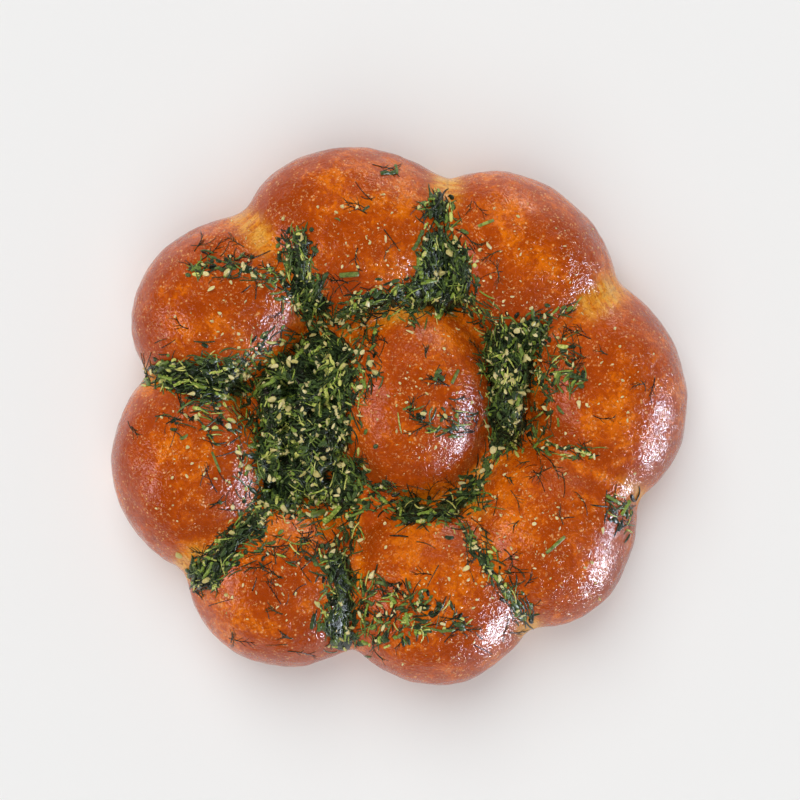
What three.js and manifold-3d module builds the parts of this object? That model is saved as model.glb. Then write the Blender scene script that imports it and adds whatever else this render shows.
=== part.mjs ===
// A pull-apart garlic bread: eight buns proofed in a ring around a ninth, baked into one roll,
// with chopped dill, dill stems and minced garlic lying in its valleys and on its crust.
// Millimetres, +Z up. The origin is at the middle of the flat base.
import * as THREE from "three";
import Module from "manifold-3d";
import { mergeVertices } from "three/addons/utils/BufferGeometryUtils.js";

const wasm = await Module();
wasm.setup();

// ---- Driving dimensions ----

// The buns as balls of dough that spread until they met. long and short are the half-widths of
// a bun's oval footprint, turn is the angle of its long side from +X in degrees.
const BUNS = {
  top: { x: -15, y: 67, long: 44, short: 35, turn: -9, height: 46 },
  upperRight: { x: 45, y: 58, long: 41, short: 31, turn: -38, height: 45 },
  right: { x: 78, y: 9, long: 42, short: 31, turn: 102, height: 45 },
  lowerRight: { x: 57, y: -44, long: 37, short: 33, turn: 68, height: 44 },
  bottom: { x: 14, y: -67, long: 37, short: 36, turn: 0, height: 44 },
  lowerLeft: { x: -45, y: -62, long: 37, short: 33, turn: -30, height: 43 },
  left: { x: -78, y: -20, long: 39, short: 31, turn: 100, height: 44 },
  upperLeft: { x: -66, y: 41, long: 38, short: 32, turn: 38, height: 45 },
  middle: { x: 6, y: 6, long: 38, short: 31, turn: 90, height: 47 },
};
// The dough web that fused between the middle bun and the ring.
const WEB = { x: -6, y: 0, long: 78, short: 66, turn: 0, height: 26 };

const WIDEST_AT = 0.34; // share of a bun's height at which it is widest
const BASE_SHARE = 0.88; // width of its foot against its widest
const DOME_POWER = 2.2; // above 2 the crown is flatter and the shoulders are fuller than an ellipse
const BUN_SIDES = 32; // facets round a bun
const DOME_STEPS = 8; // facets from a bun's widest line to its crown
const FOOT_STEPS = 3; // facets from its foot to its widest line

const SEAM_DEPTH = 1.6; // grooves under the base, where the buns met
const SEAM_WIDTH = 3.2;
const SEAM_OVERCUT = 0.1;
const SEAM_REACH = 90; // from the middle bun to beyond the rim
const SEAM_RING = { long: 40, short: 33 }; // the groove round the middle bun

const GAP = 0.3; // clear space between the crust and what lies on it
const HERB_DEPTH = 2.2; // how thick the chopped herbs lie on the crust
const LIFT = 0.4; // the same under a single stem or crumb, which lies on a curve
const HERB_FLOOR = 16; // herbs lie no lower than where the buns are widest
const HERB_CEILING = 60; // above everything

// Patches of chopped dill and garlic. outline is the patch's edge, a smooth closed curve through
// these points. A heap is herbs filled into a valley, up to the height given.
const HERB_PATCHES = {
  herbs_left_valley: {
    outline: [[-34, 33], [-20, 34], [-17, 20], [-19, 0], [-17, -18], [-6, -29], [-14, -35],
      [-30, -33], [-50, -33], [-53, -20], [-50, 0], [-56, 12], [-48, 20], [-38, 26]],
    heaps: [{ x: -36, y: 0, long: 40, short: 26, turn: 95, height: 36 }],
  },
  herbs_right_valley: {
    outline: [[32, 32], [42, 36], [54, 34], [50, 22], [48, 8], [50, -8], [40, -12], [31, -8],
      [34, 6], [33, 20]],
    heaps: [{ x: 41, y: 12, long: 26, short: 15, turn: 92, height: 37 }],
  },
  herbs_top_valley: {
    outline: [[4, 42], [5, 56], [10, 68], [14, 84], [18, 84], [18, 70], [24, 58], [26, 42],
      [16, 38]],
    heaps: [{ x: 15, y: 48, long: 22, short: 13, turn: 80, height: 36 }],
  },
  herbs_upper_left_valley: {
    outline: [[-40, 66], [-34, 66], [-31, 50], [-26, 38], [-36, 38], [-39, 50]],
    heaps: [],
  },
  herbs_left_seam: {
    outline: [[-94, 17], [-84, 22], [-72, 21], [-59, 18], [-59, 9], [-72, 6], [-84, 9]],
    heaps: [],
  },
  herbs_lower_left_seam: {
    outline: [[-52, -36], [-47, -38], [-58, -47], [-66, -61], [-76, -65], [-78, -58], [-68, -47],
      [-58, -38]],
    heaps: [],
  },
  herbs_bottom_seam: {
    outline: [[-28, -50], [-19, -52], [-17, -62], [-16, -78], [-18, -91], [-25, -88], [-27, -76],
      [-25, -62]],
    heaps: [],
  },
  herbs_middle_foot: {
    outline: [[-3, -29], [8, -33], [18, -32], [26, -24], [29, -28], [20, -38], [6, -40], [-3, -36]],
    heaps: [],
  },
  herbs_top_bun_foot: {
    outline: [[-20, 37.5], [-13, 42], [-5, 45], [1, 46.5], [1.5, 43], [-5, 41], [-12, 38], [-17, 36]],
    heaps: [],
  },
  herbs_lower_right_seam: {
    outline: [[22, -41], [27, -39], [33, -45], [39, -54], [45, -64], [51, -76], [46, -77], [39, -66],
      [33, -57], [26, -48]],
    heaps: [],
  },
  herbs_on_left_bun: {
    outline: [[-81, 4], [-66, 4], [-58, 1], [-60, -8], [-66, -13], [-72, -5], [-81, -9]],
    heaps: [],
  },
  herbs_on_upper_left_bun: {
    outline: [[-76, 57], [-64, 59], [-53, 57], [-42, 50], [-43, 45], [-53, 50], [-64, 53],
      [-72, 50]],
    heaps: [],
  },
  herbs_on_right_bun: {
    outline: [[56, 26], [63, 31], [67, 22], [68, 12], [62, 8], [56, 13]],
    heaps: [],
  },
  herbs_on_middle_bun: {
    outline: [[-16, 31], [-7, 33], [-8, 24], [-9, 12], [-14, 6], [-15, 18]],
    heaps: [],
  },
  herbs_on_middle_flank: {
    outline: [[6, -1], [17, 3], [26, 3], [28, -5], [20, -8], [11, -6]],
    heaps: [],
  },
  herbs_on_lower_left_bun: {
    outline: [[-50, -44], [-38, -43], [-26, -45], [-30, -52], [-44, -55], [-56, -55]],
    heaps: [],
  },
  herbs_on_bottom_bun: {
    outline: [[-14, -60], [-4, -60], [9, -63], [22, -70], [26, -77], [14, -79], [0, -84],
      [-12, -87]],
    heaps: [],
  },
  herbs_lower_right_edge: {
    outline: [[77, -29], [84, -31], [88, -38], [85, -45], [79, -39]],
    heaps: [],
  },
};

// Single pieces of chopped dill stem: where the middle lies, heading in degrees, length, radius.
const STEMS = {
  stem_top_bun: { x: -18, y: 52, heading: 5, length: 7, radius: 1.3 },
  stem_lower_right_bun: { x: 57, y: -47, heading: 42, length: 9, radius: 0.8 },
  stem_left_bun: { x: -67, y: -17, heading: -68, length: 8, radius: 0.6 },
  stem_lower_left_bun: { x: -31, y: -38, heading: 30, length: 7, radius: 1.5 },
  stem_upper_right_bun: { x: 32, y: 70, heading: 20, length: 6, radius: 0.8 },
  stem_middle_bun: { x: 20, y: 14, heading: 60, length: 6, radius: 0.8 },
};
const STEM_SIDES = 8;

// Crumbs of minced garlic lying by themselves on the crust: place and widest measure.
const GARLIC = {
  garlic_upper_left_bun: { x: -68, y: 46, size: 3.4 },
  garlic_left_bun: { x: -60, y: -14, size: 3.6 },
  garlic_middle_bun: { x: 4, y: 30, size: 3.4 },
  garlic_right_bun: { x: 66, y: 4, size: 3.4 },
  garlic_lower_right_bun: { x: 74, y: -42, size: 3.0 },
  garlic_bottom_bun: { x: 24, y: -56, size: 3.2 },
  garlic_upper_right_bun: { x: 33, y: 62, size: 3.6 },
  garlic_top_bun: { x: -5, y: 64, size: 3.2 },
};

// ---- Solids: closed meshes joined and cut ----

// A three.js geometry as a solid: its vertices merged by place, and faces of no area dropped.
function solidOf(geometry) {
  const bare = new THREE.BufferGeometry();
  bare.setAttribute("position", geometry.getAttribute("position"));
  bare.setIndex(geometry.index);
  const merged = mergeVertices(bare, 1e-4);
  const corners = merged.index.array;
  const kept = [];
  for (let i = 0; i < corners.length; i += 3) {
    const [a, b, c] = corners.slice(i, i + 3);
    if (a !== b && b !== c && c !== a) kept.push(a, b, c);
  }
  return new wasm.Manifold(
    new wasm.Mesh({
      numProp: 3,
      vertProperties: new Float32Array(merged.attributes.position.array),
      triVerts: new Uint32Array(kept),
    }),
  );
}

function geometryOf(solid) {
  const mesh = solid.getMesh();
  const geometry = new THREE.BufferGeometry();
  geometry.setAttribute("position", new THREE.BufferAttribute(mesh.vertProperties, 3));
  geometry.setIndex(new THREE.BufferAttribute(mesh.triVerts, 1));
  return geometry;
}

const joined = (solids) => solids.reduce((all, solid) => all.add(solid));

// The one body that holds most, without the pockets left between the feet of two buns.
const largestBody = (solid) =>
  solid.decompose().reduce((best, body) => (body.volume() > best.volume() ? body : best));

// ---- The bun ----

// The half section of a bun one unit wide and `height` high, from its foot up to its crown.
function bunSection(height) {
  const widestZ = WIDEST_AT * height;
  const points = [new THREE.Vector2(0, 0)];
  for (let i = 0; i < FOOT_STEPS; i++) {
    const angle = (i / FOOT_STEPS) * (Math.PI / 2);
    const reach = BASE_SHARE + (1 - BASE_SHARE) * Math.sin(angle);
    points.push(new THREE.Vector2(reach, widestZ * (1 - Math.cos(angle))));
  }
  for (let i = 0; i < DOME_STEPS; i++) {
    const angle = (i / DOME_STEPS) * (Math.PI / 2);
    const reach = Math.cos(angle) ** (2 / DOME_POWER);
    points.push(new THREE.Vector2(reach, widestZ + (height - widestZ) * Math.sin(angle)));
  }
  points.push(new THREE.Vector2(0, height));
  return points;
}

// A bun, or with `grown` the same bun that many millimetres larger all over but for its foot.
function bun({ x, y, long, short, turn, height }, grown = 0) {
  const dome = new THREE.LatheGeometry(bunSection(height + grown), BUN_SIDES);
  dome.rotateX(Math.PI / 2);
  dome.scale(long + grown, short + grown, 1);
  dome.rotateZ(THREE.MathUtils.degToRad(turn));
  dome.translate(x, y, 0);
  return solidOf(dome);
}

const dough = (grown = 0) =>
  joined([...Object.values(BUNS), WEB].map((lump) => bun(lump, grown)));

// Height of the crust above a point of the base.
function crustHeight(x, y) {
  const heights = [...Object.values(BUNS), WEB].map((lump) => {
    const place = new THREE.Vector2(x - lump.x, y - lump.y);
    place.rotateAround(new THREE.Vector2(), -THREE.MathUtils.degToRad(lump.turn));
    const reach = Math.hypot(place.x / lump.long, place.y / lump.short);
    const rise = Math.sqrt(Math.max(0, 1 - reach ** DOME_POWER));
    return lump.height * (WIDEST_AT + (1 - WIDEST_AT) * rise);
  });
  return Math.max(...heights);
}

// ---- The seams under the base ----

// The groove's cross section, point up, reaching a little below the base so that it cuts clean.
const seamSection = () =>
  new THREE.Shape([
    new THREE.Vector2(-SEAM_WIDTH / 2, -SEAM_OVERCUT),
    new THREE.Vector2(SEAM_WIDTH / 2, -SEAM_OVERCUT),
    new THREE.Vector2(0, SEAM_DEPTH),
  ]);

// A straight groove between two neighbours, from the groove round the middle bun to the rim.
function seamBetween(one, other) {
  const { middle } = BUNS;
  const across = (one.x + other.x) / 2 - middle.x;
  const along = (one.y + other.y) / 2 - middle.y;
  const heading = Math.atan2(along, across);
  const start = 1 / Math.hypot(Math.cos(heading) / SEAM_RING.short, Math.sin(heading) / SEAM_RING.long);
  const groove = new THREE.ExtrudeGeometry(seamSection(), { depth: SEAM_REACH, bevelEnabled: false });
  groove.rotateX(Math.PI / 2);
  groove.translate(0, -start, 0);
  groove.rotateZ(heading + Math.PI / 2);
  groove.translate(middle.x, middle.y, 0);
  return solidOf(groove);
}

function seamRing() {
  const half = SEAM_WIDTH / 2 / SEAM_RING.short;
  const section = [
    new THREE.Vector2(1 - half, -SEAM_OVERCUT),
    new THREE.Vector2(1 + half, -SEAM_OVERCUT),
    new THREE.Vector2(1, SEAM_DEPTH),
    new THREE.Vector2(1 - half, -SEAM_OVERCUT),
  ];
  const ring = new THREE.LatheGeometry(section, BUN_SIDES);
  ring.rotateX(Math.PI / 2);
  ring.scale(SEAM_RING.short, SEAM_RING.long, 1);
  ring.translate(BUNS.middle.x, BUNS.middle.y, 0);
  return solidOf(ring);
}

// ---- What lies on the crust ----

// A layer of herbs that follows the crust inside the patch's outline and fills its valleys.
function herbPatch({ outline, heaps }) {
  const edge = new THREE.CatmullRomCurve3(
    outline.map(([x, y]) => new THREE.Vector3(x, y, 0)),
    true,
  );
  const shape = new THREE.Shape(
    edge.getPoints(outline.length * 3).slice(0, -1).map((p) => new THREE.Vector2(p.x, p.y)),
  );
  const depth = HERB_CEILING - HERB_FLOOR;
  const prism = new THREE.ExtrudeGeometry(shape, { depth, bevelEnabled: false });
  prism.translate(0, 0, HERB_FLOOR);
  const cover = joined([blanket, ...heaps.map((heap) => bun(heap))]);
  return largestBody(cover.intersect(solidOf(prism)).subtract(crustClearance));
}

// Turns a piece that lies flat at the origin to lie on the crust at (x, y), `lift` above it.
function layOnCrust(mesh, { x, y, heading = 0 }, lift) {
  const step = 2;
  const slopeX = (crustHeight(x + step, y) - crustHeight(x - step, y)) / (2 * step);
  const slopeY = (crustHeight(x, y + step) - crustHeight(x, y - step)) / (2 * step);
  const normal = new THREE.Vector3(-slopeX, -slopeY, 1).normalize();
  const spin = new THREE.Quaternion().setFromAxisAngle(
    new THREE.Vector3(0, 0, 1),
    THREE.MathUtils.degToRad(heading),
  );
  const tilt = new THREE.Quaternion().setFromUnitVectors(new THREE.Vector3(0, 0, 1), normal);
  mesh.quaternion.copy(tilt.multiply(spin));
  mesh.position.set(x, y, crustHeight(x, y)).addScaledVector(normal, lift);
  return mesh;
}

function stemGeometry({ length, radius }) {
  const cut = new THREE.CylinderGeometry(radius, radius * 0.85, length, STEM_SIDES);
  cut.rotateZ(Math.PI / 2);
  return cut;
}

// A crumb with flat cut faces, longer than it is wide or high.
function garlicGeometry({ size }) {
  const crumb = new THREE.DodecahedronGeometry(size / 2);
  crumb.scale(1, 0.7, 0.5);
  return crumb;
}

// ---- The object ----

const crustMaterial = new THREE.MeshStandardMaterial({ color: "#b55f1a", roughness: 0.35 });
const herbMaterial = new THREE.MeshStandardMaterial({ color: "#27401c", roughness: 0.5 });
const stemMaterial = new THREE.MeshStandardMaterial({ color: "#6f9a24", roughness: 0.45 });
const garlicMaterial = new THREE.MeshStandardMaterial({ color: "#e6cf86", roughness: 0.4 });

const blanket = dough(HERB_DEPTH);
const crustClearance = dough(GAP);

const ring = Object.values(BUNS).slice(0, -1);
const seams = ring.map((lump, i) => seamBetween(lump, ring[(i + 1) % ring.length]));

function named(name, geometry, material) {
  const mesh = new THREE.Mesh(geometry, material);
  mesh.name = name;
  return mesh;
}

const roll = new THREE.Group();
const bread = dough().subtract(joined([...seams, seamRing()]));
roll.add(named("bread", geometryOf(bread), crustMaterial));
for (const [name, patch] of Object.entries(HERB_PATCHES)) {
  roll.add(named(name, geometryOf(herbPatch(patch)), herbMaterial));
}
for (const [name, stem] of Object.entries(STEMS)) {
  const mesh = named(name, stemGeometry(stem), stemMaterial);
  roll.add(layOnCrust(mesh, stem, stem.radius + LIFT));
}
for (const [name, crumb] of Object.entries(GARLIC)) {
  const mesh = named(name, garlicGeometry(crumb), garlicMaterial);
  roll.add(layOnCrust(mesh, crumb, crumb.size / 4 + LIFT));
}

export default roll;
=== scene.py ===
"""A pull-apart garlic bread: nine glazed buns baked into one roll, with chopped dill and garlic.

Lengths are in millimetres here, and MM turns them into the frame's metres.
"""
import functools
import math
import random

import bmesh
import bpy
import numpy as np
from mathutils import Euler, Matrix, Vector, noise
from mathutils.bvhtree import BVHTree


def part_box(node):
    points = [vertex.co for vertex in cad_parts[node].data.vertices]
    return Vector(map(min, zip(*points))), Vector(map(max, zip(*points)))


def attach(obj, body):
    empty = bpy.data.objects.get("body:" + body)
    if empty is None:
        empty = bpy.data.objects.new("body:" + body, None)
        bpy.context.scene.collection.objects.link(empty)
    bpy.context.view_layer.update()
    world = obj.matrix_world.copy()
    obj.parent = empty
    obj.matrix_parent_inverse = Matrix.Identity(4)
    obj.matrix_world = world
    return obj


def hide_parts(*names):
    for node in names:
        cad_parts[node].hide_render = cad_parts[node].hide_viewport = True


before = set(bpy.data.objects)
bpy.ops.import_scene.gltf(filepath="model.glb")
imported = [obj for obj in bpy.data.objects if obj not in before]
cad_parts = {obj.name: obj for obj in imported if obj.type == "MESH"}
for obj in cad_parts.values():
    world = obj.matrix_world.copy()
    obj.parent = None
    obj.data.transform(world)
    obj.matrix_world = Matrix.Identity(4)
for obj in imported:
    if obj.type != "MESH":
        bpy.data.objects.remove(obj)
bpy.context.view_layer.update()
MM = 0.001

# ---- The dough: the same lumps as the frame's bread ----

# x, y, half length, half width, turn in degrees, height
BUNS = {
    "top": (-15, 67, 44, 35, -9, 46),
    "upper right": (45, 58, 41, 31, -38, 45),
    "right": (78, 9, 42, 31, 102, 45),
    "lower right": (57, -44, 37, 33, 68, 44),
    "bottom": (14, -67, 37, 36, 0, 44),
    "lower left": (-45, -62, 37, 33, -30, 43),
    "left": (-78, -20, 39, 31, 100, 44),
    "upper left": (-66, 41, 38, 32, 38, 45),
    "middle": (6, 6, 38, 31, 90, 47),
}
WEB = (-6, 0, 78, 66, 0, 26)  # the dough fused between the middle bun and the ring
WIDEST_AT = 0.34  # share of a bun's height at which it is widest
BASE_SHARE = 0.88  # how wide a bun's foot is against its widest line
DOME_POWER = 2.2  # above 2, the dome is fuller than an ellipsoid
BUN_RADIUS = 32  # turns a lump's relative distance into millimetres

CRUST_STEP = 1.12  # how fine the crust's mesh is
SKIN_MARGIN = 3.0  # how far past the bread's box the field is sampled
INNER_CREASE, OUTER_CREASE = 1.1, 2.6  # how far a crease is rounded, inside and at the rim
CREASES_WIDEN = (50, 95)  # how far out the rounding starts to grow, and where it ends
BASE_EDGE = 1.2  # how far the base's edge is rounded
CREASE_WIDTH = 3.4
MIDDLE_REACH = 52  # creases nearer to the middle bun's centre than this may run round it
MIDDLE_RADIUS = 40
GROOVE_DEPTH, GROOVE_WIDTH = 0.9, 1.8  # the seams under the base
GROOVE_LEVEL = 6  # the height at which the lumps' seams are copied down to the base
SNAPS = 3  # how often the crust's points are moved onto the exact surface

# How uneven the crust is: how high, how wide and which noise.
SWELLS = [(0.85, 26, 1.0), (0.50, 11, 2.0), (0.24, 4.6, 3.0)]
RIDGE_HEIGHT, RIDGE_WIDTH = 0.22, 1.9  # the folds across a stretched crease
SHRINK = 0.5  # how far the whole crust is drawn in, so that its swells stay in the frame

# Where the crust was pulled thin as the buns rose apart: x, y and how far it reaches.
STRETCHES = [
    (-58, 66, 17), (16, 88, 15), (76, 46, 17), (92, -24, 13), (-100, 14, 12),
    (-79, -55, 12), (2, 42, 15), (50, -82, 10), (-20, -97, 9), (33, -27, 13),
]


def smooth(value, low, high):
    """0 below low, 1 above high, and a smooth rise between them."""
    share = np.clip((value - low) / (high - low), 0, 1)
    return share * share * (3 - 2 * share)


def lump_distances(points):
    """About how far each point lies outside each lump of dough, one row for a lump."""
    rows = []
    for x, y, long, short, turn, height in [*BUNS.values(), WEB]:
        angle = math.radians(turn)
        across, up = points[..., 0] - x, points[..., 1] - y
        along = (across * math.cos(angle) + up * math.sin(angle)) / long
        beside = (up * math.cos(angle) - across * math.sin(angle)) / short
        widest = WIDEST_AT * height
        rise = np.maximum(points[..., 2] - widest, 0) / (height - widest)
        sink = np.clip(1 - points[..., 2] / widest, 0, 1)
        foot = BASE_SHARE + (1 - BASE_SHARE) * np.sqrt(1 - sink**2)
        size = (np.hypot(along, beside) / foot) ** DOME_POWER + rise**2
        rows.append((np.sqrt(size) - 1) * BUN_RADIUS)
    return np.stack(rows)


def dough_field(points):
    """Below zero inside the dough, with the creases between lumps and the base's edge rounded."""
    distances = lump_distances(points)
    far_out = smooth(np.hypot(points[..., 0], points[..., 1]), *CREASES_WIDEN)
    rounding = INNER_CREASE + (OUTER_CREASE - INNER_CREASE) * far_out
    nearest = distances.min(axis=0)
    spread = np.exp(-(distances - nearest) / rounding).sum(axis=0)
    outside = nearest - rounding * np.log(spread)
    return BASE_EDGE * np.logaddexp(outside / BASE_EDGE, -points[..., 2] / BASE_EDGE)


def block_samples(low, high, step):
    """Places that fill a box evenly, as an array with one axis for each of the box's."""
    axes = [np.arange(a, b + step, step) for a, b in zip(low, high)]
    return np.stack(np.meshgrid(*axes, indexing="ij"), axis=-1)


def surface_net(samples, values):
    """The surface where values change sign, as quads with one vertex in each cell it cuts."""
    cells = tuple(n - 1 for n in values.shape)
    total, count = np.zeros((*cells, 3)), np.zeros(cells)
    crossings = []
    for axis in range(3):
        start = [slice(None)] * 3
        start[axis] = slice(0, -1)
        end = [slice(None)] * 3
        end[axis] = slice(1, None)
        a, b = values[tuple(start)], values[tuple(end)]
        edges = np.argwhere((a < 0) != (b < 0))
        here = tuple(edges.T)
        share = (a[here] / (a[here] - b[here]))[:, None]
        ends = edges.copy()
        ends[:, axis] += 1
        places = samples[here] * (1 - share) + samples[tuple(ends.T)] * share
        one, other = (axis + 1) % 3, (axis + 2) % 3
        corners = []
        for back_one, back_other in ((0, 0), (1, 0), (1, 1), (0, 1)):
            cell = edges.copy()
            cell[:, one] -= back_one
            cell[:, other] -= back_other
            np.add.at(total, tuple(cell.T), places)
            np.add.at(count, tuple(cell.T), 1)
            corners.append(cell)
        crossings.append((corners, a[here] < 0))
    used = count > 0
    index = np.full(cells, -1)
    index[used] = np.arange(used.sum())
    quads = []
    for corners, outwards in crossings:
        quad = np.stack([index[tuple(cell.T)] for cell in corners], axis=1)
        quads.append(np.where(outwards[:, None], quad, quad[:, ::-1]))
    return total[used] / count[used][:, None], np.concatenate(quads)


def slope(field, points, step=0.05):
    """Which way and how steeply the field rises at each point."""
    shifts = np.eye(3) * step
    return np.stack([(field(points + s) - field(points - s)) / (2 * step) for s in shifts], axis=-1)


def noise_at(points, size, seed=0.0):
    """Soft noise from -1 to 1 whose lumps are about `size` across."""
    shift = Vector((seed, seed * 1.7, seed * 2.3))
    return np.array([noise.noise(Vector(p) + shift) for p in points / size])


def crease_facts(points):
    """How near a crease each point is, from 0 to 1, and how far along that crease it lies."""
    distances = lump_distances(points)[:-1]
    order = np.sort(distances, axis=0)
    nearness = np.exp(-(order[1] - order[0]) / CREASE_WIDTH)
    middle_x, middle_y = BUNS["middle"][:2]
    out = np.hypot(points[:, 0] - middle_x, points[:, 1] - middle_y)
    turn = np.arctan2(points[:, 1] - middle_y, points[:, 0] - middle_x)
    by_middle = distances[-1] <= order[1] + 0.5
    return nearness, np.where(by_middle & (out < MIDDLE_REACH), turn * MIDDLE_RADIUS, out)


def stretched(points):
    """How much the crust was pulled at each point, from 0 to 1."""
    marks = [
        1 - smooth(np.hypot(points[:, 0] - x, points[:, 1] - y), reach * 0.35, reach)
        for x, y, reach in STRETCHES
    ]
    return np.max(marks, axis=0)


def mesh_object(name, points, faces, smooth_shading=True):
    mesh = bpy.data.meshes.new(name)
    mesh.from_pydata(points.tolist(), [], [list(map(int, face)) for face in faces])
    mesh.validate()
    mesh.shade_smooth() if smooth_shading else mesh.shade_flat()
    made = bpy.data.objects.new(name, mesh)
    bpy.context.scene.collection.objects.link(made)
    return made


def add_attribute(piece, name, values):
    layer = piece.data.attributes.new(name, "FLOAT", "POINT")
    layer.data.foreach_set("value", np.asarray(values, np.float32))


def seam_grooves(points):
    """How deep in a seam under the base each point lies, from 0 to 1."""
    levelled = points * (1, 1, 0) + (0, 0, GROOVE_LEVEL)
    distances = np.sort(lump_distances(levelled)[:-1], axis=0)
    return np.exp(-(((distances[1] - distances[0]) / GROOVE_WIDTH) ** 2))


def make_crust():
    low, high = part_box("bread")
    low = np.array(low) / MM - SKIN_MARGIN
    high = np.array(high) / MM + SKIN_MARGIN
    samples = block_samples(low, high, CRUST_STEP)
    points, quads = surface_net(samples, dough_field(samples))
    for _ in range(SNAPS):
        gradient = slope(dough_field, points)
        steepness = np.maximum((gradient**2).sum(axis=1), 1e-6)
        points = points - (dough_field(points) / steepness)[:, None] * gradient
    normals = slope(dough_field, points)
    normals /= np.linalg.norm(normals, axis=1)[:, None]
    nearness, along = crease_facts(points)
    pull = stretched(points) * smooth(nearness, 0.02, 0.4)
    crown = smooth(points[:, 2], 3, 9)
    folds = np.stack([along, along * 0, nearness * 3], axis=1)
    lift = sum(height * noise_at(points, width, seed) for height, width, seed in SWELLS)
    lift = lift + RIDGE_HEIGHT * pull * noise_at(folds, RIDGE_WIDTH, 4.0) - SHRINK
    points = points + normals * (lift * crown)[:, None]
    under = 1 - smooth(points[:, 2], 0.4, 2.0)
    groove = seam_grooves(points)
    points[:, 2] = np.maximum(points[:, 2], 0) + GROOVE_DEPTH * groove * under
    crust = mesh_object("crust", points * MM, quads)
    facts = {"crease": nearness, "along": along, "pull": pull, "under": under}
    for name, values in facts.items():
        add_attribute(crust, name, values)
    return crust


# ---- Shader writing ----


class Value:
    """A node's output. Arithmetic on it adds Math nodes."""

    def __init__(self, tree, socket):
        self.tree, self.socket = tree, socket

    def maths(self, operation, a, b=0.0, clamp=False):
        settings = {"operation": operation, "use_clamp": clamp}
        return self.tree.node("ShaderNodeMath", settings, {0: a, 1: b})

    def __add__(self, other):
        return self.maths("ADD", self, other)

    def __radd__(self, other):
        return self.maths("ADD", other, self)

    def __sub__(self, other):
        return self.maths("SUBTRACT", self, other)

    def __rsub__(self, other):
        return self.maths("SUBTRACT", other, self)

    def __mul__(self, other):
        return self.maths("MULTIPLY", self, other)

    def __rmul__(self, other):
        return self.maths("MULTIPLY", other, self)

    def __truediv__(self, other):
        return self.maths("DIVIDE", self, other)

    def __abs__(self):
        return self.maths("ABSOLUTE", self)

    def clamped(self):
        return self.maths("ADD", self, 0.0, clamp=True)

    def between(self, low, high):
        """0 below low, 1 above high, and a smooth rise between them."""
        return self.tree.node(
            "ShaderNodeMapRange",
            {"interpolation_type": "SMOOTHSTEP"},
            {"Value": self, "From Min": low, "From Max": high},
        )


class NodeTree:
    """A tree of shader nodes while it is made."""

    def __init__(self, tree):
        self.tree = tree
        self.tree.nodes.clear()

    def node(self, kind, settings=None, inputs=None, output=0):
        """Adds any node, sets it up, then fills its sockets with values or links."""
        made = self.tree.nodes.new(kind)
        for key, value in (settings or {}).items():
            if key == "stops":
                self.set_stops(made.color_ramp, value)
            else:
                setattr(made, key, value)
        for key, value in (inputs or {}).items():
            if isinstance(value, Value):
                self.tree.links.new(value.socket, made.inputs[key])
            else:
                made.inputs[key].default_value = value
        return Value(self, made.outputs[output]) if made.outputs else None

    @staticmethod
    def set_stops(ramp, stops):
        while len(ramp.elements) < len(stops):
            ramp.elements.new(1.0)
        for element, (place, colour) in zip(ramp.elements, stops):
            element.position, element.color = place, (*colour, 1)


class Finish(NodeTree):
    """A material while it is made."""

    def __init__(self, name):
        self.material = bpy.data.materials.new(name)
        self.material.use_nodes = True
        super().__init__(self.material.node_tree)

    def place(self):
        return self.node("ShaderNodeTexCoord", output="Object")

    def cells(self, size):
        """How far each place is from the nearest of the dots that lie about `size` mm apart."""
        inputs = {"Vector": self.place(), "Scale": 1 / (size * MM)}
        return self.node("ShaderNodeTexVoronoi", None, inputs)

    def attribute(self, name):
        return self.node("ShaderNodeAttribute", {"attribute_name": name}, output="Fac")

    def clouds(self, size, detail=2.0, roughness=0.5, distortion=0.0, where=None):
        """Noise from 0 to 1 whose lumps are about `size` millimetres across."""
        inputs = {
            "Vector": where or self.place(),
            "Scale": 1 / (size * MM) if where is None else 1 / size,
            "Detail": detail,
            "Roughness": roughness,
            "Distortion": distortion,
        }
        return self.node("ShaderNodeTexNoise", None, inputs)

    def blend(self, share, one, other):
        """Colour one where share is 0, other where it is 1."""
        inputs = {"Factor": share}
        for key, colour in ((6, one), (7, other)):
            inputs[key] = colour if isinstance(colour, Value) else (*colour, 1)
        return self.node("ShaderNodeMix", {"data_type": "RGBA"}, inputs, output=2)

    def bump(self, height, depth):
        """A normal raised by height, which is 1 where the surface stands `depth` mm up."""
        inputs = {"Height": height, "Distance": depth * MM, "Strength": 1.0}
        return self.node("ShaderNodeBump", None, inputs)

    def finished(self, **inputs):
        """Ends the tree with a Principled shader whose sockets are given by name."""
        named = {key.replace("_", " "): value for key, value in inputs.items()}
        shader = self.node("ShaderNodeBsdfPrincipled", None, named)
        self.node("ShaderNodeOutputMaterial", None, {"Surface": shader})
        return self.material


# ---- Finishes ----

DARK_GLAZE = (0.36, 0.046, 0.001)
GLAZE = (0.65, 0.104, 0.001)
ORANGE = (0.87, 0.212, 0.001)
GOLD = (0.80, 0.34, 0.03)
PALE_GOLD = (0.86, 0.52, 0.14)
# Pale blisters, also used as painted glints
SPECK_AND_GLINT = (0.95, 0.50, 0.16)
# The oven-browned base's colour, also painted into the creases as shade
OVEN_BROWN_AND_CREASE_SHADE = (0.28, 0.115, 0.035)
BASE_TAN = (0.52, 0.29, 0.11)
FLOUR = (0.75, 0.58, 0.38)
OIL_GLOSS = 1.5  # refractive index


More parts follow.
